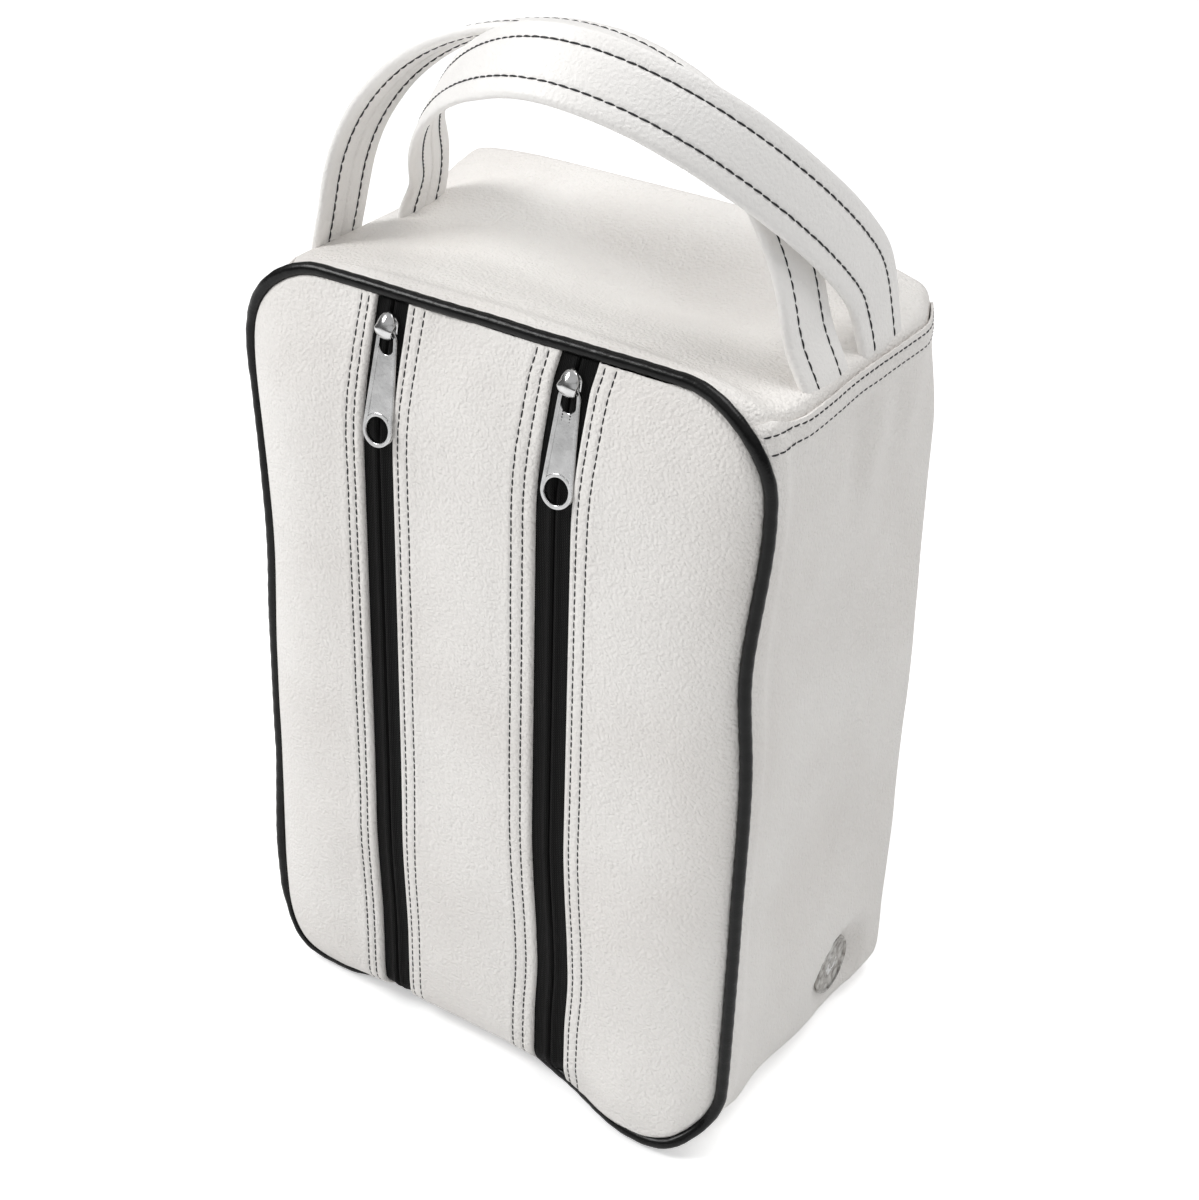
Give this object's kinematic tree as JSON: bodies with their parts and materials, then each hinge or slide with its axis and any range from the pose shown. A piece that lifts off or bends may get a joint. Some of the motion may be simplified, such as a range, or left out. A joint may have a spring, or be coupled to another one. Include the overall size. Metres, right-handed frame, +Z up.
{
  "type": "golf shoe bag",
  "caption": "Boxy leatherette golf shoe bag with two full-height front zips, a piped front, a domed top, looped hand straps and a round metal badge.",
  "frame": {"origin": "centre of the underside, on the plane the bag stands on", "axes": "+X to the right seen from the front, -Y towards the front with the zips, +Z up"},
  "size_m": [0.2343, 0.1647, 0.4566],
  "materials": {
    "leatherette": "pebbled, semi-gloss",
    "piping": "smooth, glossy",
    "cord": "matte",
    "board": "matte",
    "filler": "matte",
    "lining_cloth": "matte",
    "zip_tape": "matte, ribbed",
    "zip_coil": "satin",
    "zip_metal": "polished",
    "badge_metal": "satin",
    "thread": "matte"
  },
  "bodies": {
    "bag": {"front_panel_left": "leatherette", "front_panel_centre": "leatherette", "front_panel_right": "leatherette", "top_panel": "leatherette", "side_panel_left": "leatherette", "side_panel_right": "leatherette", "base_panel": "leatherette", "back_panel": "leatherette", "front_strap_feet": "leatherette", "rear_strap_feet": "leatherette", "base_board": "board", "strap_reinforcements": "board", "centre_divider": "lining_cloth", "left_lining": "lining_cloth", "right_lining": "lining_cloth", "front_seam_binding": "lining_cloth", "back_seam_binding": "lining_cloth", "piping_cover": "piping", "piping_cord": "cord", "left_zip_outer_tape": "zip_tape", "left_zip_inner_tape": "zip_tape", "right_zip_outer_tape": "zip_tape", "right_zip_inner_tape": "zip_tape", "left_zip_outer_coil": "zip_coil", "left_zip_inner_coil": "zip_coil", "right_zip_outer_coil": "zip_coil", "right_zip_inner_coil": "zip_coil", "left_zip_stops": "zip_metal", "right_zip_stops": "zip_metal", "left_zip_topstitching": "thread", "right_zip_topstitching": "thread", "shoulder_topstitching": "thread", "badge_cap": "badge_metal", "badge_washer": "badge_metal"},
    "left_slider": {"left_slider_body": "zip_metal", "left_slider_bridge": "zip_metal", "left_slider_spring": "zip_metal"},
    "left_pull": {"left_pull_tab": "zip_metal"},
    "right_slider": {"right_slider_body": "zip_metal", "right_slider_bridge": "zip_metal", "right_slider_spring": "zip_metal"},
    "right_pull": {"right_pull_tab": "zip_metal"},
    "front_strap": {"front_strap_outer_face": "leatherette", "front_strap_inner_face": "leatherette", "front_strap_filler": "filler", "front_strap_topstitching": "thread"},
    "rear_strap": {"rear_strap_outer_face": "leatherette", "rear_strap_inner_face": "leatherette", "rear_strap_filler": "filler", "rear_strap_topstitching": "thread"}
  },
  "joints": [
    {"name": "left_slider_travel", "type": "slide", "parent": "bag", "child": "left_slider", "axis": [0, 0, -1], "range_m": [0, 0.285]},
    {"name": "right_slider_travel", "type": "slide", "parent": "bag", "child": "right_slider", "axis": [0, 0, -1], "range_m": [0, 0.285]},
    {"name": "left_pull_swing", "type": "hinge", "parent": "left_slider", "child": "left_pull", "pos_m": [-0.045, -0.0796, 0.335], "axis": [-1, 0, 0], "range_deg": [0, 153]},
    {"name": "right_pull_swing", "type": "hinge", "parent": "right_slider", "child": "right_pull", "pos_m": [0.037, -0.0796, 0.335], "axis": [-1, 0, 0], "range_deg": [0, 153]},
    {"name": "front_strap_swing", "type": "hinge", "parent": "bag", "child": "front_strap", "pos_m": [0, -0.026, 0.3545], "axis": [-1, 0, 0], "range_deg": [0, 30]},
    {"name": "rear_strap_swing", "type": "hinge", "parent": "bag", "child": "rear_strap", "pos_m": [0, 0.014, 0.3545], "axis": [1, 0, 0], "range_deg": [0, 15]}
  ]
}
